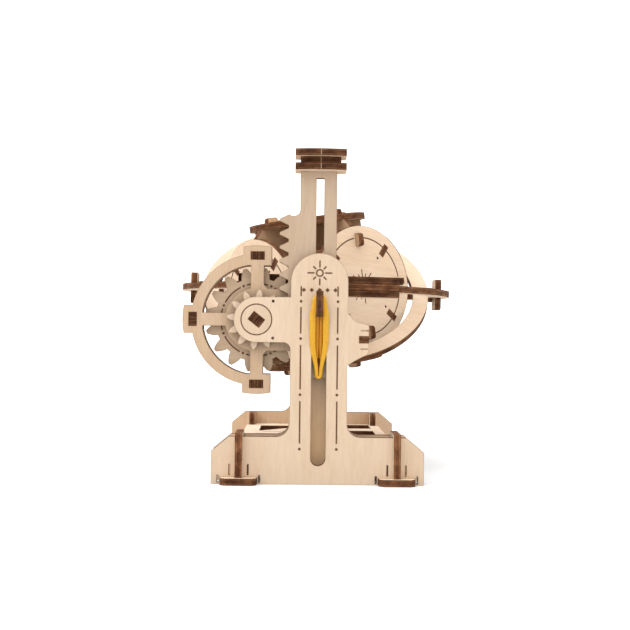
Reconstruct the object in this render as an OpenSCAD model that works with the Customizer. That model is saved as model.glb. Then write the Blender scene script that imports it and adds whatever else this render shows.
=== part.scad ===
// Plywood press-and-spin gimbal model.
// A hand-pressed rack turns a pinion, the pinion's axle turns a drive wheel, and the drive wheel
// turns a gimbal: an outer ring, a tilting inner ring and a free cube of six discs inside it.
// Millimetres, +Z up, feet on Z = 0, +Y from the pressed front to the rear.

/* [Plywood] */
// Thickness of the plywood sheet
ply = 3.2; // [3.1:0.05:3.3]
// Free gap on each side of a moving layer
gap = 0.25; // [0.2:0.05:0.3]
// Depth of an engraved line
engrave = 0.35; // [0.2:0.05:0.5]

/* [Frame] */
// Width of each frame plate's foot
base_w = 96.8; // [94:0.2:100]
// Height of each frame plate's foot
base_top = 21.6; // [21:0.1:23]
// Width of the tower
tower_w = 26.2; // [25:0.1:28]
// Height of the tower
tower_top = 105.3; // [104:0.1:107]
// Height of the gimbal's centre
centre_z = 91.4; // [91:0.1:92]
// Distance from the gimbal's centre to the front plate's face
front_reach = 92; // [91.5:0.1:92.5]
// Distance from the gimbal's centre to the rear plate's inner face
rear_reach = 75; // [74.5:0.1:76]
// Distance of each side beam from the middle
beam_x = 35.9; // [35:0.1:37]

/* [Gears] */
// Module of the rack and its pinion
rack_module = 2; // [2:0.01:2.02]
// Teeth on the rack's pinion
rack_pinion_teeth = 12; // [12:1:12]
// Teeth on the rack
rack_teeth = 9; // [7:1:9]
// Module of the drive wheel and the ring's pinion
wheel_module = 2.76; // [2.75:0.01:2.77]
// Teeth on the drive wheel
wheel_teeth = 16; // [16:1:16]
// Teeth on the ring's pinion
ring_pinion_teeth = 8; // [8:1:8]
// Backlash cut from each tooth
backlash = 0.2; // [0.15:0.01:0.3]

/* [Gimbal] */
// Outside radius of the outer ring
outer_r = 71.2; // [71:0.1:71.5]
// Outside radius of the inner ring
inner_r = 60.2; // [60:0.1:60.3]
// Width of both rings
ring_w = 8.2; // [8:0.1:8.3]
// Roll of the outer ring at rest
ring_roll = 1; // [0:0.1:5]
// Tilt of the inner ring at rest
inner_tilt = 38.7; // [0:0.1:60]
// Turn of the cube about its own pins at rest
die_turn = -11.1; // [-60:0.1:60]
// Radius of each disc of the cube
disc_r = 31.1; // [30.5:0.1:31.3]
// Distance from the centre to a disc's outer face
disc_reach = 38.7; // [38.5:0.1:39]

/* [Hidden] */
$fn = 64;

birch = [0.89, 0.78, 0.62];
dark_edge = [0.42, 0.24, 0.16];
band_yellow = [0.98, 0.72, 0.1];

// Layers, counted from the front plate: 0 front plate, 1 plunger, 2 guard, 3 drive wheel, 4 inner plate
centre_y = 7;
front_y = centre_y - front_reach;
layer_pitch = ply + gap;
rear_y = centre_y + rear_reach;
inner_y = front_y + 4 * layer_pitch;
inner_back = inner_y + ply;
mid_gap = ply + 2 * gap;

// Gear train
pair_distance = wheel_module * (wheel_teeth + ring_pinion_teeth) / 2;
pair_angle = 30.1;
axle_x = -pair_distance * cos(pair_angle);
axle_z = centre_z - pair_distance * sin(pair_angle);
wheel_phase = 14.1;
ring_pinion_phase = pair_angle + 180 + 22.5 + 2 * (pair_angle - wheel_phase);
rack_phase = 24.4;
rack_pitch = rack_module * PI;
rack_pitch_r = rack_module * rack_pinion_teeth / 2;
pitch_line_x = axle_x + rack_pitch_r;
rack_first_z = axle_z + (rack_phase - 30) * PI / 180 * rack_pitch_r - rack_pitch / 2;
rack_tip_x = pitch_line_x - 1.9;
rack_root_x = pitch_line_x + 2.2;
rack_angle = 25;
wheel_angle = 30;
journal_r = 7.1;
journal_hole_r = 7.17;

// Keyed strips: the drive axle is two plies, the ring's shafts are one
axle_w = 2 * ply;
axle_h = 4.7;
axle_turn = -38;
shaft_w = 6.4;

// Plunger
stem_left = -9.2;
stem_right = 7.6;
stem_bottom = 48.2;
shoulder_z = 122.6;
neck_top = 143.3;
knob_top = neck_top + 3 * ply;
hook_w = ply;
plunger_slot_w = 3.6;
plunger_y = front_y + layer_pitch;
band_lean = 4.2;
band_t = 1.3;
hook_seat_z = 83.6;
lower_seat_z = 49.4;

// Frame details
slot_w = 6.8;
arm_r = 10.35;
bump_x = 22.75;
spacer_z = 64.5;
foot_w = 16.4;
foot_len = 29;
foot_reach = 6;
lap_z = 10.9;
lattice_z = 11.2;
lattice_rear = rear_y - 11.6;
post_top = 23.4;
rear_post_top = 21.4;
beam_end_r = 2;
guard_in = 25.4;
guard_out = 30.4;
bar_r = 29.6;
bar_w = 2 * ply;
bar_h = 3.8;

// Gimbal details
outer_in = outer_r - ring_w;
inner_in = inner_r - ring_w;
hub_half = 38.1;
pin_r = 1.5;
pin_hole_r = 1.55;
bracket_x = 65;
clip_x = 61;
clip_half = 2.4;
fork_half = 4.4;
pin_inner = 53.5;
tab_r = 23.9;
tab_len = 6.6;
tab_out = 2.8;
disc_in = disc_reach - ply;

// ---- Helpers ----

// A plate whose outline is drawn in X and Z, from y to y + t
module plate_xz(y, t = ply) {
    translate([0, y + t, 0]) rotate([90, 0, 0]) linear_extrude(t) children();
}

// A plate whose outline is drawn in X and Y, from z to z + t
module plate_xy(z, t = ply) {
    translate([0, 0, z]) linear_extrude(t) children();
}

// A plate whose outline is drawn in Y and Z, from x to x + t
module plate_yz(x, t = ply) {
    translate([x, 0, 0]) rotate([90, 0, 90]) linear_extrude(t) children();
}

// A rectangle from its low corner to its high corner
module rect(x0, z0, x1, z1) {
    translate([x0, z0]) square([x1 - x0, z1 - z0]);
}

// The fill of an inside corner at (x, z), opening towards (sx, sz)
module corner_fill(x, z, r, sx, sz) {
    difference() {
        rect(min(x, x + sx * r), min(z, z + sz * r), max(x, x + sx * r), max(z, z + sz * r));
        translate([x + sx * r, z + sz * r]) circle(r);
    }
}

// A rectangle with rounded corners, centred
module round_rect(w, h, r) {
    square([w - 2 * r, h], center = true);
    square([w, h - 2 * r], center = true);
    for (sx = [-1, 1], sz = [-1, 1]) translate([sx * (w / 2 - r), sz * (h / 2 - r)]) circle(r, $fn = 24);
}

// An engraved ring, as a flat outline
module ring_line(r, w = 0.45) {
    difference() {
        circle(r + w / 2);
        circle(r - w / 2);
    }
}

// Involute gear outline
function roll(a) = tan(a) - a * PI / 180;
function flank_angle(rb, r) = acos(min(1, rb / r));
function flank_point(rb, half, r) =
    let (a = half - roll(flank_angle(rb, r)) * 180 / PI) [r * cos(a), r * sin(a)];

module gear_outline(m, z, pressure, tip_r, root_r, phase) {
    pitch_r = m * z / 2;
    base_r = pitch_r * cos(pressure);
    half = 90 / z - backlash / 2 / pitch_r * 180 / PI + roll(pressure) * 180 / PI;
    start_r = max(base_r, root_r);
    steps = 6;
    upper = [for (i = [0:steps]) flank_point(base_r, half, start_r + (tip_r - start_r) * i / steps)];
    foot = (root_r - 0.3) / start_r;
    side = concat([upper[0] * foot], upper);
    tooth = concat([for (p = side) [p[0], -p[1]]], [for (i = [len(side) - 1:-1:0]) side[i]]);
    circle(root_r);
    for (k = [0:z - 1]) rotate(phase + k * 360 / z) polygon(tooth);
}

// Section of the drive axle, as a keyed hole or a solid
module axle_section() {
    rotate(axle_turn) square([axle_w, axle_h], center = true);
}

module at_axle() translate([axle_x, axle_z]) children();
module at_centre() translate([0, centre_z]) children();

// Rest positions of the gimbal's bodies
module outer_pose() translate([0, centre_y, centre_z]) rotate([0, ring_roll, 0]) children();
module inner_pose() outer_pose() rotate([inner_tilt, 0, 0]) children();
module die_pose() {
    inner_pose() rotate([0, die_turn, 0]) rotate([-35.264, 0, 0]) rotate([0, 0, -45]) children();
}

// ---- Frame ----

// Outline of a frame plate's foot with its clipped shoulders
module base_outline() {
    h = base_w / 2;
    polygon([[-h, 0], [h, 0], [h, 14.9], [h - 8, base_top], [8 - h, base_top], [-h, 14.9]]);
}

// Outline of the tower with its round top and the fillets down to the foot
module tower_outline() {
    h = tower_w / 2;
    rect(-h, 0, h, tower_top - h);
    translate([0, tower_top - h]) circle(h);
    for (s = [-1, 1]) corner_fill(s * h, base_top, 6.2, s, 1);
}

// The arm that carries the drive axle
module arm_outline() {
    at_axle() circle(arm_r);
    rect(axle_x, axle_z - arm_r, 0, axle_z + arm_r);
    corner_fill(-tower_w / 2, axle_z - arm_r, 3.2, -1, -1);
}

// The bump that holds the side spacer
module bump_outline() {
    h = tower_w / 2;
    polygon([[h - 1, 53.9], [h + 1, 54.9], [h + 3, 56.2], [h + 6.5, 58.1], [h + 9, 59.3], [bump_x, 60.7],
             [bump_x, 72.5], [h + 8.6, 73.1], [h + 5, 73.8], [h + 2.4, 75.1], [h + 1, 77.1], [h - 1, 78.9]]);
}

// The openings that each frame plate has for beams and feet
module base_cuts() {
    for (s = [-1, 1]) {
        rect(s * beam_x - ply / 2, lap_z, s * beam_x + ply / 2, base_top + 2);
        rect(s * beam_x - foot_w / 2 - 0.2, -1, s * beam_x + foot_w / 2 + 0.2, ply);
        for (side = [-1, 1]) {
            relief_x = s * beam_x + side * 9.4;
            rect(relief_x - 0.4, 0.7, relief_x + 0.4, 4.1);
            rect(s * beam_x + side * 4.2 - 0.35, 4.1, s * beam_x + side * 4.2 + 0.35, 9.1);
        }
    }
}

module spacer_cuts() {
    rect(bump_x - 4.5, spacer_z, bump_x + 1, spacer_z + ply);
    rect(bump_x - 3.7, 61.7, bump_x + 1, 62.1);
    rect(bump_x - 3.7, 70, bump_x + 1, 70.4);
}

module t_plate_outline() {
    difference() {
        union() {
            base_outline();
            tower_outline();
            arm_outline();
            bump_outline();
        }
        base_cuts();
        spacer_cuts();
        at_axle() circle(journal_hole_r);
    }
}

// Generic eight-rayed star and a row of lozenges, engraved near the tower's top
module star_motif() {
    translate([0, 96.3]) {
        ring_line(1.5, 0.5);
        for (k = [0:7]) rotate(45 * k) rect(2.5, -0.25, k % 2 == 0 ? 5.6 : 4.2, 0.25);
    }
    for (k = [-2:2]) translate([k * 3.6, 88.5]) rotate(45) square(1.3, center = true);
}

// Two dashed scored lines beside the slot
module dashed_lines() {
    for (x = [-8.4, 8.4]) {
        for (dash = [[85.7, 90.1], [68.7, 80.6], [43.3, 63.3], [18.7, 37.8]]) {
            rect(x - 0.25, dash[0], x + 0.25, dash[1]);
        }
        for (z = [83.3, 66.3, 40.8, 16.1]) translate([x, z]) circle(0.55, $fn = 16);
    }
}

module front_frame() {
    color(birch) difference() {
        plate_xz(front_y) difference() {
            t_plate_outline();
            rect(-slot_w / 2, 11.9, slot_w / 2, 73.9);
            translate([0, 11.9]) circle(slot_w / 2);
            rect(-hook_w / 2, 76.3, hook_w / 2, hook_seat_z);
            for (z = [axle_z - 8.4, axle_z + 8.4]) translate([-21.1, z]) circle(0.6, $fn = 16);
        }
        plate_xz(front_y - 1, 1 + engrave) {
            star_motif();
            dashed_lines();
        }
    }
}

// Half rim, three arms and their blocks around the drive wheel
module guard_outline() {
    at_axle() {
        circle(14.8);
        difference() {
            circle(guard_out);
            circle(guard_in);
            rect(0, -guard_out - 1, guard_out + 1, guard_out + 1);
        }
        for (a = [90, 180, 270]) rotate(a) {
            rect(0, -3, guard_in + 1, 3);
            intersection() {
                circle(34.3);
                rect(bar_r - 4.6, -6.5, 36, 6.5);
            }
        }
    }
}

module guard_bar_cuts() {
    at_axle() for (a = [90, 180, 270]) rotate(a) translate([bar_r, 0]) square([bar_h, bar_w], center = true);
}

module inner_frame() {
    color(birch) plate_xz(inner_y) difference() {
        union() {
            t_plate_outline();
            difference() {
                guard_outline();
                at_axle() circle(journal_hole_r);
            }
        }
        guard_bar_cuts();
        at_centre() circle(journal_hole_r);
        lattice_cuts();
    }
}

module lattice_cuts() {
    for (s = [-1, 1]) rect(s * 16 - 4, lattice_z, s * 16 + 4, lattice_z + ply);
}

module rear_frame() {
    color(birch) plate_xz(rear_y) difference() {
        union() {
            base_outline();
            tower_outline();
        }
        base_cuts();
        lattice_cuts();
        at_centre() circle(journal_hole_r);
        for (z = [33, 49, 65]) translate([0, z]) round_rect(slot_w, 9, slot_w / 2 - 0.1);
    }
}

module gear_guard() {
    color(birch) plate_xz(front_y + 2 * layer_pitch) difference() {
        union() {
            guard_outline();
            rect(-tower_w / 2, 7, tower_w / 2, tower_top - tower_w / 2);
            translate([0, tower_top - tower_w / 2]) circle(tower_w / 2);
            rect(axle_x, axle_z - 14.3, 0, axle_z + 14.3);
            corner_fill(axle_x + 3, axle_z + 14.3, 2.8, 1, 1);
            corner_fill(axle_x + 3, axle_z - 14.3, 2.8, 1, -1);
        }
        guard_bar_cuts();
        at_axle() circle(4.6);
        at_centre() circle(journal_hole_r);
        rect(-hook_w / 2, 76.3, hook_w / 2, 82.4);
    }
}

// Three two-ply bars: tenons through the guard and the inner plate, shoulders between them
module guard_bars() {
    color(dark_edge) for (a = [90, 180, 270], side = [-1, 1])
        translate([axle_x, 0, axle_z]) rotate([0, -a, 0]) {
            y = front_y + 2 * layer_pitch;
            low = side < 0 ? -ply : 0.04;
            translate([bar_r - bar_h / 2, y, low]) cube([bar_h, inner_back - y, ply - 0.04]);
            translate([bar_r - 2.8, y + ply, low]) cube([5.6, mid_gap, ply - 0.04]);
        }
}

// Fills the drive wheel's layer at the foot of the tower
module tower_spacer() {
    color(birch) plate_xz(front_y + 3 * layer_pitch - gap, mid_gap) {
        rect(-tower_w / 2, 7, tower_w / 2, 46);
    }
}

module side_spacer() {
    color(dark_edge) plate_xy(spacer_z) {
        rect(bump_x - 4.5, front_y, bump_x, inner_back);
        rect(bump_x - 6.7, front_y + ply, bump_x, inner_y);
    }
}

// Upright end of a beam in front of and behind the frame plates, with rounded top corners
module beam_post(low, high, top) {
    rect(low, ply, high, top - beam_end_r);
    rect(low + beam_end_r, ply, high - beam_end_r, top);
    for (y = [low + beam_end_r, high - beam_end_r]) translate([y, top - beam_end_r]) circle(beam_end_r, $fn = 32);
}

// Long beam that laps the three frame plates
module side_beam(s) {
    front = front_y - 3.5;
    rear = rear_y + ply + 3.4;
    color(dark_edge) plate_yz(s * beam_x - ply / 2) difference() {
        union() {
            rect(front, ply, rear, lattice_z);
            beam_post(front, inner_back + 2.2, post_top);
            beam_post(lattice_rear + 0.4, rear, rear_post_top);
            rect(front, 1, front_y - 0.3, ply);
            rect(rear_y + ply + 0.3, 1, rear, ply);
        }
        for (y = [front_y, inner_y, rear_y]) rect(y, -1, y + ply, lap_z);
    }
}

module side_beam_left() side_beam(-1);
module side_beam_right() side_beam(1);

// Foot pad under the front or rear end of a beam
module foot(s, end) {
    outer = end < 0 ? front_y - foot_reach : rear_y + ply + foot_reach - 0.2;
    inner = outer - end * foot_len;
    tenon_a = end < 0 ? front_y - 3.5 : rear_y + ply + 0.3;
    tenon_b = end < 0 ? front_y - 0.3 : rear_y + ply + 3.4;
    h = foot_w / 2;
    color(dark_edge) plate_xy(0) difference() {
        translate([s * beam_x, 0]) polygon([
            [-h, inner], [-h, outer - end * 2], [2 - h, outer], [h - 2, outer], [h, outer - end * 2], [h, inner]
        ]);
        rect(s * beam_x - ply / 2, tenon_a, s * beam_x + ply / 2, tenon_b);
    }
}

module foot_front_left() foot(-1, -1);
module foot_front_right() foot(1, -1);
module foot_rear_left() foot(-1, 1);
module foot_rear_right() foot(1, 1);

// Horizontal floor plate with windows between its bars
module base_lattice() {
    color(birch) plate_xy(lattice_z) difference() {
        union() {
            rect(-39, inner_back + 6, 39, lattice_rear);
            rect(-34.2, inner_back, 34.2, rear_y);
            for (s = [-1, 1]) rect(s * 16 - 4, inner_y, s * 16 + 4, rear_y + ply);
        }
        polygon([[-30.3, 65], [-30.3, 30], [-14.3, 49], [-3, 60], [-3, 65]]);
        rect(3, 50, 33.3, 74);
        rect(-28.5, 23.4, -17.5, 24.4);
        rect(3, 10, 33.3, 34);
        rect(-30.3, -24, -3, 10);
        rect(3, -24, 33.3, 2);
        rect(-30.3, -62, -3, -32);
        rect(3, -62, 33.3, -32);
    }
}

module plunger_guide_left() {
    color(birch) plate_xz(front_y + ply, mid_gap) rect(-tower_w / 2, 7, stem_left - 0.2, 32);
}

module plunger_guide_right() {
    color(birch) plate_xz(front_y + ply, mid_gap) rect(stem_right + 0.2, 7, tower_w / 2, tower_top - tower_w / 2);
}

// Hook through the front plate, the plunger's slot and the guard
module upper_band_hook() {
    back = front_y + 2 * layer_pitch;
    color(dark_edge) plate_yz(-hook_w / 2) polygon([
        [front_y - 4, 76.3], [back + ply, 76.3], [back + ply, 82.4], [back, 82.4], [back, hook_seat_z],
        [front_y - 3.6, hook_seat_z], [front_y - 4.2, 88], [front_y - 5.2, 88], [front_y - 6, 87.2],
        [front_y - 6, 79.3]
    ]);
}

// Stretched loop from the upper hook, leaning back into the slot to the lower hook
module rubber_band() {
    top = hook_seat_z + 1.6;
    length = top - lower_seat_z + 1.6;
    color(band_yellow) translate([0, front_y - 2.3, top]) rotate([band_lean, 0, 0]) plate_xz(-band_t / 2, band_t)
        difference() {
            polygon([
                [1.9, -length], [2.8, -length + 5], [3.2, -length * 0.68], [4.1, -length * 0.5], [4.1, -length * 0.35],
                [3.6, -4], [2.2, 0], [-2.2, 0], [-3.6, -4], [-4.1, -length * 0.35], [-4.1, -length * 0.5],
                [-3.2, -length * 0.68], [-2.8, -length + 5], [-1.9, -length]
            ]);
            polygon([
                [0.5, 2 - length], [2, -length / 2], [1.7, -1.5], [-1.7, -1.5], [-2, -length / 2], [-0.5, 2 - length]
            ]);
        }
}

// ---- Plunger ----

module rack_tooth(z) {
    half = rack_pitch / 4 - backlash / 2;
    tip = half - (pitch_line_x - rack_tip_x) * tan(rack_angle);
    root = half + (rack_root_x - pitch_line_x) * tan(rack_angle);
    polygon([
        [rack_tip_x, z + tip], [rack_tip_x, z - tip], [rack_root_x, z - root],
        [rack_root_x + 1, z - root], [rack_root_x + 1, z + root], [rack_root_x, z + root]
    ]);
}

module plunger_rack() {
    block_bottom = rack_first_z - rack_pitch / 2;
    color(birch) plate_xz(plunger_y) difference() {
        union() {
            rect(stem_left, stem_bottom, stem_right, neck_top);
            rect(rack_root_x, block_bottom, stem_left + 1, shoulder_z);
            corner_fill(stem_left, shoulder_z, 3, -1, 1);
            rect(-4.6, neck_top - 1, 4.6, knob_top);
            for (k = [0:rack_teeth - 1]) rack_tooth(rack_first_z + k * rack_pitch);
        }
        rect(-plunger_slot_w / 2, 75.4, plunger_slot_w / 2, 140);
        rect(-hook_w / 2, 50.9, hook_w / 2, 57.9);
        rect(-0.3, 63.8, 0.3, 68.1);
    }
}

// Outline of a knob plate, straight ends and bowed front and back
module knob_outline(w, depth, end_depth) {
    bow = (depth - end_depth) / 2;
    r = (w * w / 4 + bow * bow) / (2 * bow);
    intersection() {
        square([w, depth], center = true);
        translate([0, depth / 2 - r]) circle(r, $fn = 128);
        translate([0, r - depth / 2]) circle(r, $fn = 128);
    }
}

module knob_plate(level, w, depth, end_depth) {
    color(birch) plate_xy(neck_top + level * ply) difference() {
        translate([0, plunger_y + ply / 2]) knob_outline(w, depth, end_depth);
        rect(-4.6, plunger_y, 4.6, plunger_y + ply);
    }
}

module knob_bottom_plate() knob_plate(0, 23.4, 15.8, 13);
module knob_middle_plate() knob_plate(1, 18.6, 9.2, 8);
module knob_top_plate() knob_plate(2, 23.4, 15.8, 13);

// Hook fixed in the plunger, standing in the front plate's slot
module lower_band_hook() {
    back = plunger_y + ply;
    tip = front_y + 1.4;
    color(dark_edge) plate_yz(-hook_w / 2) polygon([
        [tip, 49], [tip + 0.3, 48.5], [tip + 0.6, lower_seat_z], [plunger_y - 0.4, lower_seat_z], [plunger_y, 50.9],
        [back, 50.9], [back, 57.9], [tip + 0.4, 57.9], [tip, 57.4]
    ]);
}

// ---- Drive axle ----

// Two plies side by side, keyed to everything that turns with them
module drive_axle() {
    color(dark_edge) for (side = [-1, 1])
        plate_xz(front_y, inner_back - front_y) at_axle() rotate(axle_turn)
            translate([side * (ply / 2 + 0.02), 0]) square([ply - 0.04, axle_h], center = true);
}

module axle_journal(layer) {
    y = front_y + layer * layer_pitch;
    color(birch) difference() {
        plate_xz(y) at_axle() difference() {
            circle(journal_r);
            axle_section();
        }
        plate_xz(y - 1, 1 + engrave) at_axle() ring_line(journal_r, 0.6);
    }
}

module front_journal() axle_journal(0);
module rear_axle_journal() axle_journal(4);

module rack_pinion() {
    color(birch) plate_xz(plunger_y) at_axle() difference() {
        gear_outline(rack_module, rack_pinion_teeth, rack_angle, 13.9, 9.7, rack_phase);
        axle_section();
    }
}

module drive_wheel() {
    y = front_y + 3 * layer_pitch;
    color(birch) difference() {
        plate_xz(y) at_axle() difference() {
            gear_outline(wheel_module, wheel_teeth, wheel_angle, 24.2, 19.5, wheel_phase);
            axle_section();
        }
        plate_xz(y - 1, 1 + engrave) at_axle() {
            difference() {
                ring_line(16.8, 0.5);
                for (k = [0:7]) rotate(22.5 + 45 * k) rect(10, -1.6, 20, 1.6);
            }
            for (k = [0:7]) rotate(22.5 + 45 * k) translate([16.8, 0]) circle(0.5, $fn = 16);
        }
    }
}

// ---- Outer ring ----

module outer_ring() {
    color(birch) outer_pose() plate_xy(-ply / 2) difference() {
        union() {
            difference() {
                circle(outer_r, $fn = 180);
                circle(outer_in, $fn = 180);
            }
            for (s = [-1, 1]) difference() {
                rect(-hub_half, s < 0 ? -73.5 : 47, hub_half, s < 0 ? -47 : 73.5);
                circle(outer_in, $fn = 180);
                for (side = [-1, 1]) rect(side * hub_half - 8, s * 54 - 7, side * hub_half + 8, s * 54 + 6.5);
            }
        }
        for (s = [-1, 1]) {
            rect(-shaft_w / 2, s < 0 ? -74 : 65, shaft_w / 2, s < 0 ? -65 : 74);
            translate([s * (outer_in + bracket_x + ply / 2 - 1) / 2, 0])
                square([bracket_x + ply / 2 - outer_in + 1, 10], center = true);
        }
    }
}

// Plate above or below the ring's hub
module hub_plate(s, level) {
    long_end = s < 0 && level > 0 ? 2 : 0;
    color(birch) outer_pose() plate_xy(level > 0 ? ply / 2 : -ply * 1.5) {
        rect(-hub_half, s < 0 ? -73.5 : 60.5, hub_half, s < 0 ? -60.5 : 73.5);
        rect(-hub_half, s < 0 ? -71 : 63, hub_half + long_end, s < 0 ? -63 : 71);
    }
}

module front_hub_top() hub_plate(-1, 1);
module front_hub_bottom() hub_plate(-1, -1);
module rear_hub_top() hub_plate(1, 1);
module rear_hub_bottom() hub_plate(1, -1);

// Flat shafts held between the hub plates
module ring_shaft_front() {
    color(dark_edge) outer_pose() plate_xy(-ply / 2) {
        rect(-shaft_w / 2, front_y + 2 * layer_pitch - centre_y, shaft_w / 2, -65);
    }
}

module ring_shaft_rear() {
    color(dark_edge) outer_pose() plate_xy(-ply / 2) rect(-shaft_w / 2, 65, shaft_w / 2, rear_reach + ply);
}

module shaft_key() rotate(-ring_roll) square([shaft_w, ply], center = true);

module ring_journal(y) {
    color(birch) plate_xz(y) at_centre() difference() {
        circle(journal_r);
        shaft_key();
    }
}

module ring_journal_guard() ring_journal(front_y + 2 * layer_pitch);
module ring_journal_inner() ring_journal(inner_y);
module ring_journal_rear() ring_journal(rear_y);

module ring_pinion() {
    color(birch) plate_xz(front_y + 3 * layer_pitch) at_centre() difference() {
        gear_outline(wheel_module, ring_pinion_teeth, wheel_angle, 13.2, 8.5, ring_pinion_phase);
        shaft_key();
    }
}

// Upright plate in a notch of the ring that holds a pivot pin
module pivot_bracket(s) {
    color(dark_edge) outer_pose() plate_yz(s * bracket_x - ply / 2) difference() {
        union() {
            for (z = [-1, 1]) translate([0, z * (ply / 2 + 3.25)]) round_rect(14, 6.5, 1.6);
            rect(-5, -ply / 2 - 0.5, 5, ply / 2 + 0.5);
        }
        circle(pin_r);
    }
}

module pivot_bracket_left() pivot_bracket(-1);
module pivot_bracket_right() pivot_bracket(1);

module pivot_pins() {
    color(dark_edge) outer_pose() for (s = [-1, 1])
        translate([s < 0 ? -bracket_x - ply / 2 : pin_inner, 0, 0]) rotate([0, 90, 0])
            cylinder(r = pin_r, h = bracket_x + ply / 2 - pin_inner);
}

// ---- Inner ring ----

module inner_ring() {
    color(birch) inner_pose() plate_xy(-ply / 2) difference() {
        union() {
            circle(inner_r, $fn = 180);
            for (s = [-1, 1]) rect(s < 0 ? -clip_x - ply / 2 : 57, -fork_half, s < 0 ? -57 : clip_x + ply / 2, fork_half);
        }
        circle(inner_in, $fn = 180);
        for (s = [-1, 1]) {
            rect(s < 0 ? -inner_r - 1 : pin_inner - gap, -pin_r - 0.1,
                 s < 0 ? gap - pin_inner : inner_r + 1, pin_r + 0.1);
            translate([s * (clip_x + 1), 0]) square([ply + 2, 2 * clip_half], center = true);
            rect(-pin_r - 0.1, s < 0 ? -56.5 : inner_in - 1, pin_r + 0.1, s < 0 ? 1 - inner_in : 56.5);
        }
    }
}

// Small plate in the fork at each end of the inner ring, turning on a pivot pin
module pin_clip(s) {
    color(dark_edge) inner_pose() plate_yz(s * clip_x - ply / 2) difference() {
        round_rect(2 * clip_half, 6.6, 0.8);
        circle(pin_hole_r);
    }
}

module pin_clip_left() pin_clip(-1);
module pin_clip_right() pin_clip(1);

// Cover plates that close the inner ring's slots around the cube's pins
module die_bearing_blocks() {
    color(dark_edge) inner_pose() for (s = [-1, 1], z = [-ply * 1.5, ply / 2])
        plate_xy(z) translate([0, s * (inner_in + ring_w / 2)]) round_rect(13, 7.4, 1.2);
}

// ---- Cube of discs ----

// Places the six discs: axis 0 to 2 and side -1 or 1
module disc_pose(axis, side) {
    die_pose() rotate(axis == 0 ? [0, 90 * side, 0] : axis == 1 ? [-90 * side, 0, 0] : [side > 0 ? 0 : 180, 0, 0])
        children();
}

module tab_slots() {
    for (k = [0:7]) rotate(45 * k) translate([tab_r, 0]) square([tab_len, ply], center = true);
}

// Generic sunburst of scored lines
module sun_motif() {
    ring_line(3.2, 0.4);
    ring_line(1.4, 0.4);
    for (k = [0:15]) rotate(22.5 * k) rect(4.4, -0.2, k % 2 == 0 ? 8.8 : 6.8, 0.2);
}

module die_disc(axis, side) {
    color(birch) disc_pose(axis, side) difference() {
        plate_xy(disc_in) difference() {
            circle(disc_r, $fn = 96);
            tab_slots();
            for (k = [0:3]) rotate(45 + 90 * k) translate([18, 1]) circle(0.55, $fn = 16);
        }
        plate_xy(disc_reach - engrave, 1) {
            difference() {
                ring_line(25, 0.5);
                for (k = [0:3]) rotate(90 * k) rect(20, -2.6, 30, 2.6);
            }
            sun_motif();
        }
    }
}

module die_disc_right() die_disc(0, 1);
module die_disc_left() die_disc(1, -1);
module die_disc_front() die_disc(0, -1);
module die_disc_rear() die_disc(1, 1);
module die_disc_top() die_disc(2, 1);
module die_disc_bottom() die_disc(2, -1);

// Core plate with eight tabs through four discs, half-lapped with its two neighbours
module core_outline() {
    h = disc_in;
    c = 4;
    difference() {
        union() {
            polygon([
                [c - h, -h], [h - c, -h], [h, c - h], [h, h - c], [h - c, h], [c - h, h], [-h, h - c], [-h, c - h]
            ]);
            for (k = [0:3], s = [-1, 1]) rotate(90 * k) {
                reach = disc_reach + tab_out;
                rect(h - 1, s * tab_r - tab_len / 2, reach - 1.6, s * tab_r + tab_len / 2);
                rect(h - 1, s * tab_r - tab_len / 2 + 1.6, reach, s * tab_r + tab_len / 2 - 1.6);
                for (e = [-1, 1]) translate([reach - 1.6, s * tab_r + e * (tab_len / 2 - 1.6)]) circle(1.6, $fn = 24);
            }
        }
        for (s = [-1, 1]) rect(s < 0 ? -h - 1 : 25, -ply / 2, s < 0 ? -25 : h + 1, ply / 2);
        rect(-ply / 2, -25, ply / 2, 25);
    }
}

module core_plate_x() color(dark_edge) die_pose() plate_yz(-ply / 2) core_outline();
module core_plate_y() color(dark_edge) die_pose() rotate([0, -90, -90]) plate_xy(-ply / 2) core_outline();
module core_plate_z() color(dark_edge) die_pose() plate_xy(-ply / 2) core_outline();

// Three fins in each corner, one from each disc, that close around the corner's diagonal
module corner_fins() {
    color(dark_edge) for (axis = [0:2], side = [-1, 1], k = [0:3])
        disc_pose(axis, side) rotate([90, 0, 45 + 90 * k]) translate([0, 0, -ply / 2]) linear_extrude(ply)
            polygon([
                [tab_r - tab_len / 2, disc_in], [tab_r - tab_len / 2, disc_reach],
                [tab_r + tab_len / 2, disc_reach], [tab_r + tab_len / 2, disc_in], [28.5, disc_in],
                [28.5, (28.5 + 3 * sqrt(3)) / sqrt(2)], [20, (20 + 3 * sqrt(3)) / sqrt(2)], [16, 18.5], [16, disc_in]
            ]);
}

// Stepped pins out of two opposite corners, running in the inner ring
module die_pins() {
    color(dark_edge) inner_pose() for (s = [-1, 1]) rotate([-90 * s, 0, 0]) {
        translate([0, 0, 27]) cylinder(r = 3, h = 19);
        translate([0, 0, 46]) cylinder(r = pin_r, h = 10.3);
    }
}

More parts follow.
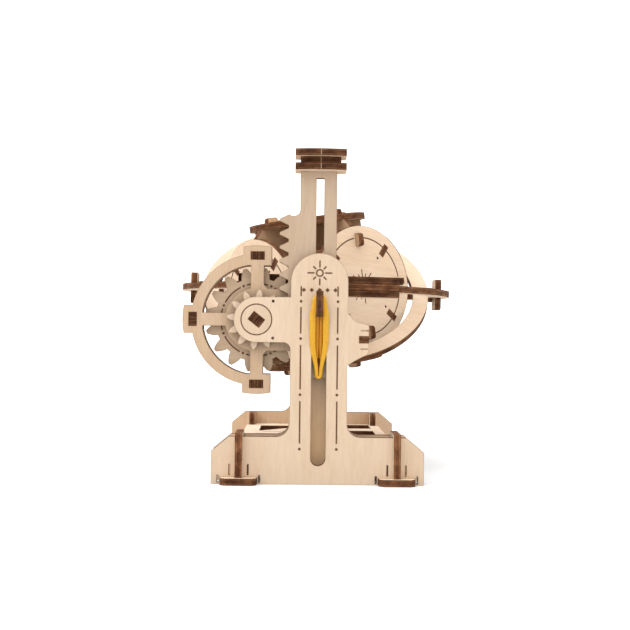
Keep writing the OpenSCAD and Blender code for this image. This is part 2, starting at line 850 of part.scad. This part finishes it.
front_frame();
inner_frame();
rear_frame();
gear_guard();
guard_bars();
tower_spacer();
side_spacer();
side_beam_left();
side_beam_right();
base_lattice();
foot_front_left();
foot_front_right();
foot_rear_left();
foot_rear_right();
plunger_guide_left();
plunger_guide_right();
upper_band_hook();
rubber_band();
plunger_rack();
knob_bottom_plate();
knob_middle_plate();
knob_top_plate();
lower_band_hook();
drive_axle();
front_journal();
rear_axle_journal();
rack_pinion();
drive_wheel();
outer_ring();
front_hub_top();
front_hub_bottom();
rear_hub_top();
rear_hub_bottom();
ring_shaft_front();
ring_shaft_rear();
ring_pinion();
ring_journal_guard();
ring_journal_inner();
ring_journal_rear();
pivot_bracket_left();
pivot_bracket_right();
pivot_pins();
inner_ring();
pin_clip_left();
pin_clip_right();
die_bearing_blocks();
die_disc_right();
die_disc_left();
die_disc_front();
die_disc_rear();
die_disc_top();
die_disc_bottom();
core_plate_x();
core_plate_y();
core_plate_z();
corner_fins();
die_pins();
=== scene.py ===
"""Looks for a press-and-spin plywood gimbal model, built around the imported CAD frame."""

import math
import random
import zlib

import bmesh
import bpy
import numpy as np
from mathutils import Matrix, Vector


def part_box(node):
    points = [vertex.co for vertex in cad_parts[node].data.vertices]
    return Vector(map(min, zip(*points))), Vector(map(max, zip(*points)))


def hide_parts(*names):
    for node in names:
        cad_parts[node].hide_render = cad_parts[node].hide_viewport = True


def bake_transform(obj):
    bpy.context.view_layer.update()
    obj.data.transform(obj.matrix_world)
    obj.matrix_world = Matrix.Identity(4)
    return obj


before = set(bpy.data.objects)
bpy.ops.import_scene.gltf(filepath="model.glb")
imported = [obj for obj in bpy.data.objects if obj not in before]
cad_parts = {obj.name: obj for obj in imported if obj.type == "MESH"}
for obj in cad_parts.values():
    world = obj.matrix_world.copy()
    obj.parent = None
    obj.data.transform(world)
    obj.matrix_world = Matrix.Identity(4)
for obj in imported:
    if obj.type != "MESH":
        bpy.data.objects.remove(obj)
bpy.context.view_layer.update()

MM = 0.001

# ---- Camera and studio ----

CAMERA_AHEAD = 0.5051     # in front of the front plate's face
CAMERA_X = -0.0109
CAMERA_Z = 0.0680
CAMERA_YAW = 1.01         # degrees to the right
CAMERA_PITCH = 1.034      # degrees up
CAMERA_ROLL = 0.676       # degrees anticlockwise
CAMERA_LENS = 63.4        # millimetres
SENSOR_WIDTH = 36         # millimetres
CLIP_START = 0.01

WORLD_STRENGTH = 1.62
SUN_STRENGTH = 2.9
SUN_SPREAD = 80           # degrees across the light, so that its shadows are soft
SUN_DIRECTION = (0.42, 0.06, -0.9)
SUN_COLOUR = (0.93, 1, 1.06)
FLOOR_HALF = 6.0
FLOOR_GREY = 0.65


def add_camera():
    front_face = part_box("front_frame")[0].y
    yaw, pitch, roll = (math.radians(a) for a in (CAMERA_YAW, CAMERA_PITCH, CAMERA_ROLL))
    forward = Vector((math.sin(yaw) * math.cos(pitch), math.cos(yaw) * math.cos(pitch), math.sin(pitch)))
    level = Vector((math.cos(yaw), -math.sin(yaw), 0))
    above = level.cross(forward)
    right = level * math.cos(roll) + above * math.sin(roll)
    up = above * math.cos(roll) - level * math.sin(roll)
    turn = Matrix((right, up, -forward)).transposed().to_4x4()
    camera = bpy.data.objects.new("camera", bpy.data.cameras.new("camera"))
    camera.matrix_world = Matrix.Translation((CAMERA_X, front_face - CAMERA_AHEAD, CAMERA_Z)) @ turn
    camera.data.lens = CAMERA_LENS
    camera.data.sensor_width = SENSOR_WIDTH
    camera.data.clip_start = CLIP_START
    bpy.context.scene.collection.objects.link(camera)
    bpy.context.scene.camera = camera


def add_sky():
    scene = bpy.context.scene
    scene.view_settings.view_transform = "Standard"
    world = bpy.data.worlds.new("studio")
    world.use_nodes = True
    background = world.node_tree.nodes["Background"]
    background.inputs["Color"].default_value = (1, 1, 1, 1)
    background.inputs["Strength"].default_value = WORLD_STRENGTH
    scene.world = world


def add_sun():
    data = bpy.data.lights.new("top_left_light", "SUN")
    data.energy = SUN_STRENGTH
    data.angle = math.radians(SUN_SPREAD)
    data.color = SUN_COLOUR
    sun = bpy.data.objects.new("top_left_light", data)
    sun.rotation_euler = Vector(SUN_DIRECTION).to_track_quat("-Z", "Y").to_euler()
    bpy.context.scene.collection.objects.link(sun)


def add_floor():
    mesh = bpy.data.meshes.new("floor")
    corners = [(sx * FLOOR_HALF, sy * FLOOR_HALF, 0) for sx, sy in ((-1, -1), (1, -1), (1, 1), (-1, 1))]
    mesh.from_pydata(corners, [], [(0, 1, 2, 3)])
    floor = bpy.data.objects.new("floor", mesh)
    bpy.context.scene.collection.objects.link(floor)
    tree = Tree("floor_white")
    tree.surface(tree.colour((FLOOR_GREY, FLOOR_GREY, FLOOR_GREY)), 0.9, specular=0.0)
    mesh.materials.append(tree.material)


# ---- Node trees ----

class Tree:
    """Short calls for building one material's nodes."""

    def __init__(self, name):
        self.material = bpy.data.materials.new(name)
        self.material.use_nodes = True
        self.nodes = self.material.node_tree.nodes
        self.links = self.material.node_tree.links
        self.shader = self.nodes["Principled BSDF"]

    def put(self, socket, value):
        """Links a socket, or sets a number or a colour; None leaves it as it is."""
        if isinstance(value, bpy.types.NodeSocket):
            self.links.new(value, socket)
        elif value is not None:
            socket.default_value = value

    def colour(self, rgb):
        node = self.nodes.new("ShaderNodeRGB")
        node.outputs[0].default_value = (*rgb, 1)
        return node.outputs[0]

    def attribute(self, name):
        node = self.nodes.new("ShaderNodeAttribute")
        node.attribute_name = name
        return node

    def math(self, operation, a, b=None):
        node = self.nodes.new("ShaderNodeMath")
        node.operation = operation
        for socket, value in zip(node.inputs, (a, b)):
            self.put(socket, value)
        return node.outputs[0]

    def times(self, a, b):
        return self.math("MULTIPLY", a, b)

    def fit(self, value, low, high, to_low=0.0, to_high=1.0):
        """value from low..high to to_low..to_high on a smooth step."""
        node = self.nodes.new("ShaderNodeMapRange")
        node.interpolation_type = "SMOOTHSTEP"
        for socket, v in zip(node.inputs, (value, low, high, to_low, to_high)):
            self.put(socket, v)
        return node.outputs[0]

    def swing(self, noise, to_low=0.0, to_high=1.0):
        """A noise's usual range, 0.3 to 0.7, to to_low..to_high."""
        return self.fit(noise, 0.3, 0.7, to_low, to_high)

    def vector(self, x, y, z):
        node = self.nodes.new("ShaderNodeCombineXYZ")
        for socket, value in zip(node.inputs, (x, y, z)):
            self.put(socket, value)
        return node.outputs[0]

    def noise(self, vector, detail=2.0, roughness=0.5, scale=1.0):
        node = self.nodes.new("ShaderNodeTexNoise")
        self.put(node.inputs["Vector"], vector)
        self.put(node.inputs["Scale"], scale)
        self.put(node.inputs["Detail"], detail)
        self.put(node.inputs["Roughness"], roughness)
        return node.outputs[0]

    def spots(self, x, y, z, scale):
        """Distance to the nearest of a field of random points, in cells."""
        node = self.nodes.new("ShaderNodeTexVoronoi")
        node.feature = "F1"
        self.put(node.inputs["Vector"], self.vector(x, y, z))
        self.put(node.inputs["Scale"], scale)
        return node.outputs["Distance"]

    def mix(self, factor, a, b):
        node = self.nodes.new("ShaderNodeMix")
        node.data_type = "RGBA"
        self.put(node.inputs[0], factor)
        self.put(node.inputs[6], a)
        self.put(node.inputs[7], b)
        return node.outputs[2]

    def scaled(self, colour, value):
        """colour times a number."""
        node = self.nodes.new("ShaderNodeVectorMath")
        node.operation = "SCALE"
        self.put(node.inputs[0], colour)
        self.put(node.inputs["Scale"], value)
        return node.outputs[0]

    def gamma(self, colour, value):
        node = self.nodes.new("ShaderNodeGamma")
        self.put(node.inputs[0], colour)
        self.put(node.inputs[1], value)
        return node.outputs[0]

    def rim(self, reach):
        """1 at a sharp edge, falling to 0 about reach metres from it."""
        rounded = self.nodes.new("ShaderNodeBevel")
        rounded.samples = 6
        self.put(rounded.inputs["Radius"], reach)
        dot = self.nodes.new("ShaderNodeVectorMath")
        dot.operation = "DOT_PRODUCT"
        self.put(dot.inputs[0], rounded.outputs[0])
        self.put(dot.inputs[1], self.nodes.new("ShaderNodeNewGeometry").outputs["Normal"])
        return self.fit(dot.outputs["Value"], 0.84, 0.997, 1, 0)

    def bump(self, height, strength, distance=0.06 * MM):
        node = self.nodes.new("ShaderNodeBump")
        self.put(node.inputs["Height"], height)
        self.put(node.inputs["Distance"], distance)
        self.put(node.inputs["Strength"], strength)
        return node.outputs[0]

    def surface(self, colour, roughness, normal=None, specular=0.5):
        self.put(self.shader.inputs["Base Color"], colour)
        self.put(self.shader.inputs["Roughness"], roughness)
        self.put(self.shader.inputs["Specular IOR Level"], specular)
        self.put(self.shader.inputs["Normal"], normal)

    def place(self):
        """The point's X, Y and Z on the model at rest."""
        split = self.nodes.new("ShaderNodeSeparateXYZ")
        self.put(split.inputs[0], self.nodes.new("ShaderNodeTexCoord").outputs["Object"])
        return split.outputs

    def sheet(self):
        """Metres along the grain and across it, place through the thickness (-0.5 to 0.5), and a seed."""
        split = self.nodes.new("ShaderNodeSeparateXYZ")
        self.put(split.inputs[0], self.attribute("sheet").outputs["Vector"])
        return (*split.outputs, self.times(self.attribute("seed").outputs["Fac"], 50.0))

    def look(self, name):
        """One of the node's own LOOKS values."""
        return self.attribute(name).outputs["Fac"]

    def stretched(self, along, across, third, per_metre):
        """Texture space with so many features per metre along and across the grain."""
        return self.vector(self.times(along, per_metre[0]), self.times(across, per_metre[1]), third)


# ---- Plywood ----

BIRCH = (0.612, 0.460, 0.325)
BIRCH_WARM = (0.572, 0.412, 0.276)
BIRCH_PORE = (0.430, 0.280, 0.180)
# Paler, warmer wood colour painted on the guard's strip in the slot as bounce light
PAINTED_BOUNCE = (0.64, 0.41, 0.225)
SCORCH = (0.125, 0.058, 0.028)
CHAR = (0.062, 0.022, 0.009)
TOAST = (0.165, 0.070, 0.031)
BREAK_LIGHT = (0.52, 0.36, 0.23)
ENGRAVED = (0.130, 0.060, 0.030)

# Features per metre along and across the grain
DRIFT = (16, 60)
STREAKS = (110, 850)
PORES = (240, 2000)
PIN_STREAKS = (90, 1600)
BURNS = (180, 180)
FIBRES = (90, 90)
COMB = (2600, 2600)
LINE_BURNS = (1500, 1500)

SCORCH_REACH = 0.6 * MM
SCORCH_STRENGTH = 0.8

# Strip of the guard that shows through the front plate's slot, painted paler and warmer towards its foot as
# bounce light
STRIP_HALF, STRIP_FADE = 3.6 * MM, 4.4 * MM
STRIP_FOOT, STRIP_TOP = 12 * MM, 62 * MM

# Places through a sheet, from 0 at its middle to 0.5 at its faces
GLUE_AT, GLUE_SPREAD = 0.17, 0.045
SKIN_FROM, SKIN_BURNT = 0.38, 0.49
BREAK_END = 0.46

BREAKS_PER_METRE = 85
BREAK_RADIUS = (0.016, 0.034)         # of a cell, from its full colour to none
MIDDLE_BREAK = (0.08 * MM, 0.22 * MM)  # either side of the model's middle, from its full colour to none


def painted_bounce_mask(tree):
    """Painted bounce light on the strip that shows through the slot: 1 at its foot, fading to 0 at its top
    and beyond its sides.
    """
    x, _, z = tree.place()
    side = tree.fit(tree.math("ABSOLUTE", x), STRIP_HALF, STRIP_FADE, 1, 0)
    return tree.times(side, tree.fit(z, STRIP_FOOT, STRIP_TOP, 1, 0))


def birch_face(name="birch_face", painted_bounce_strip=False):
    """Birch veneer: slow drift, fine streaks and pores, with a scorched rim; the node's tone and warmth carry
    part painted light and shade.
    """
    tree = Tree(name)
    along, across, _, seed = tree.sheet()
    drift = tree.noise(tree.stretched(along, across, seed, DRIFT), 4, 0.65)
    streaks = tree.noise(tree.stretched(along, across, seed, STREAKS), 4, 0.7)
    pores = tree.noise(tree.stretched(along, across, seed, PORES), 2, 0.6)
    colour = tree.mix(tree.fit(drift, 0.3, 0.75), (*BIRCH, 1), (*BIRCH_WARM, 1))
    colour = tree.scaled(colour, tree.swing(streaks, 0.955, 1.04))
    colour = tree.mix(tree.fit(pores, 0.62, 0.78, 0, 0.32), colour, (*BIRCH_PORE, 1))
    # Tone and warmth: part the wood's own colour, part painted light and shade
    colour = tree.scaled(tree.gamma(colour, tree.look("warmth")), tree.look("tone"))
    # Painted bounce light: the strip in the slot turns paler and warmer towards its foot
    if painted_bounce_strip:
        bounce_lit = tree.scaled(tree.colour(PAINTED_BOUNCE), tree.swing(streaks, 0.95, 1.05))
        colour = tree.mix(painted_bounce_mask(tree), colour, bounce_lit)
    colour = tree.mix(tree.times(tree.rim(SCORCH_REACH), SCORCH_STRENGTH), colour, (*SCORCH, 1))
    height = tree.math("ADD", streaks, tree.fit(pores, 0.62, 0.8, 0, -0.6))
    rough = tree.fit(streaks, 0.2, 0.8, 0.68, 0.58)
    tree.surface(colour, rough, tree.bump(height, 0.3), 0.25)
    return tree.material


def edge_plies(tree, along, across, depth):
    """The edge's colour by ply, and its glue lines and comb marks for the bump."""
    out = tree.math("ABSOLUTE", depth)
    burn = tree.noise(tree.stretched(along, across, depth, BURNS), 4, 0.6)
    comb = tree.noise(tree.stretched(along, across, 0.0, COMB), 2, 0.5)
    fibres = tree.noise(tree.stretched(along, across, tree.times(depth, 14), FIBRES), 2, 0.5)
    core = tree.fit(out, GLUE_AT - 0.02, GLUE_AT + 0.02, 1, 0)
    from_glue = tree.math("ABSOLUTE", tree.math("SUBTRACT", out, GLUE_AT))
    glue = tree.fit(from_glue, 0.0, GLUE_SPREAD, 0.42, 1)
    colour = tree.mix(tree.fit(burn, 0.3, 0.72), (*CHAR, 1), (*TOAST, 1))
    shades = (tree.fit(core, 0, 1, 1.15, 0.78), glue, tree.swing(fibres, 0.78, 1.22),
              tree.swing(comb, 0.93, 1.07), tree.fit(out, SKIN_FROM, SKIN_BURNT, 1, 0.4), tree.look("toast"))
    for shade in shades:
        colour = tree.scaled(colour, shade)
    return colour, tree.math("ADD", comb, tree.times(glue, 0.8))


def edge_breaks(tree, along, across, depth, seed, middle_break):
    """How strongly the small pale breaks show, where the laser left the sheet uncut."""
    breaks = tree.fit(tree.spots(along, across, seed, BREAKS_PER_METRE), *BREAK_RADIUS, 0.75, 0)
    if middle_break:
        middle = tree.fit(tree.math("ABSOLUTE", tree.place()[0]), *MIDDLE_BREAK, 0.55, 0)
        breaks = tree.math("MAXIMUM", breaks, middle)
    return tree.times(breaks, tree.fit(tree.math("ABSOLUTE", depth), SKIN_FROM, BREAK_END, 1, 0))


def cut_edge(name="cut_edge", middle_break=False):
    """Laser-cut edge: charred skins, toasted plies between glue lines, and small pale breaks."""
    tree = Tree(name)
    along, across, depth, seed = tree.sheet()
    colour, height = edge_plies(tree, along, across, depth)
    breaks = edge_breaks(tree, along, across, depth, seed, middle_break)
    colour = tree.mix(breaks, colour, (*BREAK_LIGHT, 1))
    tree.surface(colour, 0.8, tree.bump(height, 0.4), 0.08)
    return tree.material


def engraved():
    """Floor of an engraved line, burnt unevenly."""
    tree = Tree("engraved_line")
    along, across, _, seed = tree.sheet()
    burn = tree.noise(tree.stretched(along, across, seed, LINE_BURNS), 3, 0.6)
    colour = tree.scaled(tree.colour(ENGRAVED), tree.swing(burn, 0.7, 1.5))
    tree.surface(colour, 0.85, tree.bump(burn, 0.4), 0.05)
    return tree.material


def dowel():
    """Turned round pin with fine streaks."""
    tree = Tree("dowel")
    along, across, _, seed = tree.sheet()
    streaks = tree.noise(tree.stretched(along, across, seed, PIN_STREAKS), 4, 0.6)
    colour = tree.mix(tree.swing(streaks), (*BIRCH_WARM, 1), (*BIRCH, 1))
    colour = tree.scaled(colour, tree.look("tone"))
    tree.surface(colour, 0.55, tree.bump(streaks, 0.3, 0.05 * MM), 0.35)
    return tree.material


# ---- Sheet coordinates on the CAD nodes ----

ROUND_PINS = ("pivot_pins", "die_pins")
KNOB_PLATES = ("knob_top_plate", "knob_middle_plate", "knob_bottom_plate")
UPRIGHT_GRAIN = ("front_frame", "inner_frame", "rear_frame", "gear_guard", "plunger_rack", "tower_spacer",
                 "plunger_guide_left", "plunger_guide_right")
UPRIGHT_TURN = 0.08       # radians either way
FACE, EDGE, LINE = 0, 1, 2
FLAT = 0.95               # how square to the sheet a flat face is
SKIN_LEVEL = 0.004        # of the thickness
GROOVE_LEVEL = 0.3        # of the thickness from the sheet's middle

# A node's tone and warmth on its faces, and toast on its edges. Tone and warmth are part wood colour
# and part painted light and shade: a warmth above 1 darkens and reddens a face as painted shade, most on the
# core pieces inside the cube, and the raised tones of the base lattice and tower spacer are painted light
PLAIN_LOOK = (1.0, 1.0, 1.0)
# Core pieces inside the cube: darker and redder as painted shade
CORE_SHADE_LOOK = (0.9, 1.5, 1.0)
LOOKS = {
    "front_frame": (0.84, 1.0, 1.0),
    "front_journal": (0.83, 1.0, 1.0),
    "plunger_rack": (0.67, 1.1, 1.0),
    "gear_guard": (0.82, 1.25, 1.0),
    "drive_wheel": (0.77, 1.2, 1.0),
    "rack_pinion": (0.90, 1.0, 1.0),
    "inner_frame": (0.95, 1.1, 1.0),
    "rear_frame": (1.05, 1.12, 1.0),
    # Paler as painted light in the slot
    "tower_spacer": (1.1, 1.3, 1.0),
    # Paler as painted light from above
    "base_lattice": (1.08, 0.95, 1.0),
    # Darker as painted shade
    "inner_ring": (0.95, 1.0, 1.0),
    "outer_ring": (1.0, 1.0, 1.1),
    "core_plate_x": CORE_SHADE_LOOK,
    "core_plate_y": CORE_SHADE_LOOK,
    "core_plate_z": CORE_SHADE_LOOK,
    "corner_fins": CORE_SHADE_LOOK,
    "front_hub_top": (1.0, 1.0, 0.67),
    "front_hub_bottom": (1.0, 1.0, 0.72),
    "knob_top_plate": (1.0, 1.0, 0.74),
    "knob_middle_plate": (1.0, 1.0, 0.72),
    "knob_bottom_plate": (1.0, 1.0, 0.72),
    "side_beam_left": (1.0, 1.0, 1.3),
    "side_beam_right": (1.0, 1.0, 1.3),
    "drive_axle": (1.0, 1.0, 0.6),
    "guard_bars": (1.0, 1.0, 0.6),
    "upper_band_hook": (0.9, 1.0, 0.8),
    "side_spacer": (1.0, 1.0, 0.8),
}


def solids_of(points, faces):
    """The solid that each vertex belongs to, taking vertices at one place as one."""
    _, place = np.unique(np.round(points, 6), axis=0, return_inverse=True)
    place = place.reshape(-1)
    parent = list(range(place.max() + 1))

    def root(i):
        while parent[i] != i:
            parent[i] = parent[parent[i]]
            i = parent[i]
        return i

    for face in faces:
        first = root(place[face[0]])
        for vertex in face[1:]:
            parent[root(place[vertex])] = first
    return np.array([root(p) for p in place])


def main_direction(normals, areas):
    """The direction that most of the area faces, either way."""
    uneven = np.array([0.9, 0.7, 1.3])    # few faces lie square to this, so it tells a side from its opposite
    flip = np.sign(normals @ uneven)
    keys = np.round(normals * flip[:, None], 2)
    _, which = np.unique(keys, axis=0, return_inverse=True)
    totals = np.bincount(which.reshape(-1), weights=areas)
    best = (which.reshape(-1) == totals.argmax())
    mean = (normals[best] * flip[best, None] * areas[best, None]).sum(0)
    return mean / np.linalg.norm(mean)


def grain_frame(normal, turn):
    """Two directions in the sheet, along and across the grain."""
    start = np.array([0, 0, 1.0]) if abs(normal[2]) < 0.9 else np.array([0, 1.0, 0])
    along = start - normal * (start @ normal)
    along /= np.linalg.norm(along)
    across = np.cross(normal, along)
    return along * math.cos(turn) + across * math.sin(turn), across * math.cos(turn) - along * math.sin(turn)


def face_kinds(level, facing):
    """FACE on a sheet's two skins, LINE on the floor of an engraved line near them, EDGE elsewhere."""
    flat = np.abs(facing) > FLAT
    skin = (level < SKIN_LEVEL) | (level > 1 - SKIN_LEVEL)
    groove = np.abs(level - 0.5) > GROOVE_LEVEL
    return np.where(flat & skin, FACE, np.where(flat & groove, LINE, EDGE))


def sheet_coordinates(node, draw):
    """Each vertex's place in its own solid's sheet and its seed, and each face's kind."""
    mesh = node.data
    points = np.array([v.co for v in mesh.vertices])
    faces = [list(p.vertices) for p in mesh.polygons]
    normals, areas, centres = (np.array([getattr(p, what) for p in mesh.polygons])
                               for what in ("normal", "area", "center"))
    solids = solids_of(points, faces)
    face_solids = solids[[f[0] for f in faces]]
    reach = (-UPRIGHT_TURN, UPRIGHT_TURN) if node.name in UPRIGHT_GRAIN else (0, math.pi)
    sheet, seeds, kinds = np.zeros_like(points), np.zeros(len(points)), np.full(len(faces), EDGE)
    for solid in np.unique(solids):
        mine, my_faces = solids == solid, face_solids == solid
        normal = main_direction(normals[my_faces], areas[my_faces])
        along, across = grain_frame(normal, draw.uniform(*reach))
        deep = points[mine] @ normal
        low, thickness = deep.min(), deep.max() - deep.min()
        through = (deep - low) / thickness - 0.5
        sheet[mine] = np.stack([points[mine] @ along, points[mine] @ across, through], axis=1)
        seeds[mine] = draw.random()
        level = (centres[my_faces] @ normal - low) / thickness
        kinds[my_faces] = face_kinds(level, normals[my_faces] @ normal)
    return sheet, seeds, kinds


def add_numbers(mesh, name, values):
    mesh.attributes.new(name, "FLOAT", "POINT").data.foreach_set("value", values.astype(np.float32))


def dress(node, materials):
    """Gives a CAD node its slots, its faces' kinds and the attributes that the plywood reads."""
    mesh = node.data
    draw = random.Random(zlib.crc32(node.name.encode()))
    sheet, seeds, kinds = sheet_coordinates(node, draw)
    if node.name in ROUND_PINS:
        kinds[:] = FACE
    places = mesh.attributes.new("sheet", "FLOAT_VECTOR", "POINT")
    places.data.foreach_set("vector", sheet.astype(np.float32).ravel())
    add_numbers(mesh, "seed", seeds)
    for name, look in zip(("tone", "warmth", "toast"), LOOKS.get(node.name, PLAIN_LOOK)):
        add_numbers(mesh, name, np.full(len(seeds), look * draw.uniform(0.98, 1.01)))
    mesh.materials.clear()
    for material in materials:
        mesh.materials.append(material)
    mesh.polygons.foreach_set("material_index", kinds.astype(np.int32))


def dress_nodes():
    face, edge, line = birch_face(), cut_edge(), engraved()
    knob_slots = [face, cut_edge("cut_edge_knob", middle_break=True), line]
    special = {name: knob_slots for name in KNOB_PLATES}
    # The guard's face carries the painted bounce light in the slot
    special["gear_guard"] = [birch_face("birch_rubbed", painted_bounce_strip=True), edge, line]
    pin_wood = dowel()
    for name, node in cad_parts.items():
        if name in ROUND_PINS:
            dress(node, [pin_wood])
        elif name != "rubber_band":
            dress(node, special.get(name, [face, edge, line]))


# ---- Rubber band ----

BAND_DEPTH = 1.3 * MM
HOOK_HALF = 1.6 * MM      # from the band's lowest or highest point to the middle of its end
UPPER_REACH = 0.22        # of the height, over which the band closes in to each hook
LOWER_REACH = 0.46
END_ROUND = 0.8           # height of the bend round a hook, of its half width
SIDE_STEPS, END_STEPS = 36, 12
LOWER_THINNER = 0.4       # how much narrower the rubber is at its lower end
CORNER_CUT = 0.3          # of the strip's smaller side

# Each turn's rubber (light, dark), strip width, Y at its top and bottom from the front plate's face,
# and half widths at its top, middle and bottom, in millimetres; the back turn's rubber is darker as painted
# shade
BAND_TURNS = (
    {"name": "rubber_band_front", "material": "band_rubber",
     "light": (0.56, 0.290, 0.010), "dark": (0.50, 0.250, 0.007),
     "width": 2.7, "y": (-2.7, 1.6), "halves": (1.9, 3.0, 0.9)},
    # Back turn: its rubber painted darker as shade
    {"name": "rubber_band_back", "material": "band_rubber_shaded",
     "light": (0.50, 0.205, 0.004), "dark": (0.44, 0.170, 0.003),
     "width": 1.7, "y": (-1.0, 2.9), "halves": (1.6, 0.9, 0.8)},
)


def rubber(name, light, dark):
    tree = Tree(name)
    mottle = tree.noise(tree.nodes.new("ShaderNodeTexCoord").outputs["Object"], 3, 0.6, 900)
    colour = tree.mix(tree.swing(mottle), (*dark, 1), (*light, 1))
    tree.surface(colour, 0.42, tree.bump(mottle, 0.3, 0.05 * MM), 0.3)
    tree.put(tree.shader.inputs["Subsurface Weight"], 0.2)
    tree.put(tree.shader.inputs["Subsurface Radius"], (0.002, 0.001, 0.0002))
    tree.put(tree.shader.inputs["Subsurface Scale"], 1.0)
    return tree.material


def smooth(t):
    t = min(max(t, 0.0), 1.0)
    return t * t * (3 - 2 * t)


def loop_path(top, bottom, at_top, at_middle, at_bottom):
    """Points (x, z, how far into the lower end) of one closed turn, up its right side and down its left."""
    upper_reach, lower_reach = UPPER_REACH * (top - bottom), LOWER_REACH * (top - bottom)

    def side_point(z):
        upper, lower = smooth((z - top) / upper_reach + 1), smooth((bottom - z) / lower_reach + 1)
        return at_middle + (at_top - at_middle) * upper + (at_bottom - at_middle) * lower, z, lower

    side = [side_point(bottom + (top - bottom) * i / SIDE_STEPS) for i in range(SIDE_STEPS + 1)]
    arc = [math.pi * i / END_STEPS for i in range(1, END_STEPS)]
    over = [(at_top * math.cos(a), top + END_ROUND * at_top * math.sin(a), 0) for a in arc]
    under = [(-at_bottom * math.cos(a), bottom - END_ROUND * at_bottom * math.sin(a), 1) for a in arc]
    return side + over + [(-x, z, lower) for x, z, lower in reversed(side)] + under


def ring_places(place, outward, width):
    """The eight points of the strip's section, a rectangle with cut corners."""
    cut = CORNER_CUT * min(width, BAND_DEPTH)
    places = []
    for sx, sy in ((1, -1), (1, 1), (-1, 1), (-1, -1)):
        for first in ((0, 1) if sx == sy else (1, 0)):
            across = outward * sx * (width / 2 - cut * first)
            places.append(place + across + Vector((0, sy * (BAND_DEPTH / 2 - cut * (1 - first)), 0)))
    return places


def sweep_loop(name, path):
    """A closed strip along path's (place, width), its width in the XZ plane."""
    made = bmesh.new()
    rings = []
    count = len(path)
    for i, (place, width) in enumerate(path):
        run = path[(i + 1) % count][0] - path[i - 1][0]
        outward = Vector((run.z, 0, -run.x)).normalized()
        rings.append([made.verts.new(p) for p in ring_places(place, outward, width)])
    for i, ring in enumerate(rings):
        following = rings[(i + 1) % count]
        for k in range(len(ring)):
            j = (k + 1) % len(ring)
            made.faces.new((ring[k], ring[j], following[j], following[k]))
    bmesh.ops.recalc_face_normals(made, faces=made.faces)
    mesh = bpy.data.meshes.new(name)
    made.to_mesh(mesh)
    made.free()
    mesh.shade_smooth()
    band = bpy.data.objects.new(name, mesh)
    bpy.context.scene.collection.objects.link(band)
    return band


def add_band():
    """One band put twice round both hooks: a wide front turn and a narrow turn behind it."""
    front_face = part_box("front_frame")[0].y
    low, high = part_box("rubber_band")
    top, bottom = high.z - HOOK_HALF, low.z + HOOK_HALF
    for turn in BAND_TURNS:
        y_top, y_bottom = (front_face + y * MM for y in turn["y"])
        lean = (y_bottom - y_top) / (top - bottom)
        path = [(Vector((x, y_top + lean * (top - z), z)), turn["width"] * MM * (1 - LOWER_THINNER * lower))
                for x, z, lower in loop_path(top, bottom, *(half * MM for half in turn["halves"]))]
        band = sweep_loop(turn["name"], path)
        band.data.materials.append(rubber(turn["material"], turn["light"], turn["dark"]))
        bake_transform(band)
        if turn["name"] == "rubber_band_front":
            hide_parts("rubber_band")


add_camera()
add_sky()
add_sun()
add_floor()
dress_nodes()
add_band()
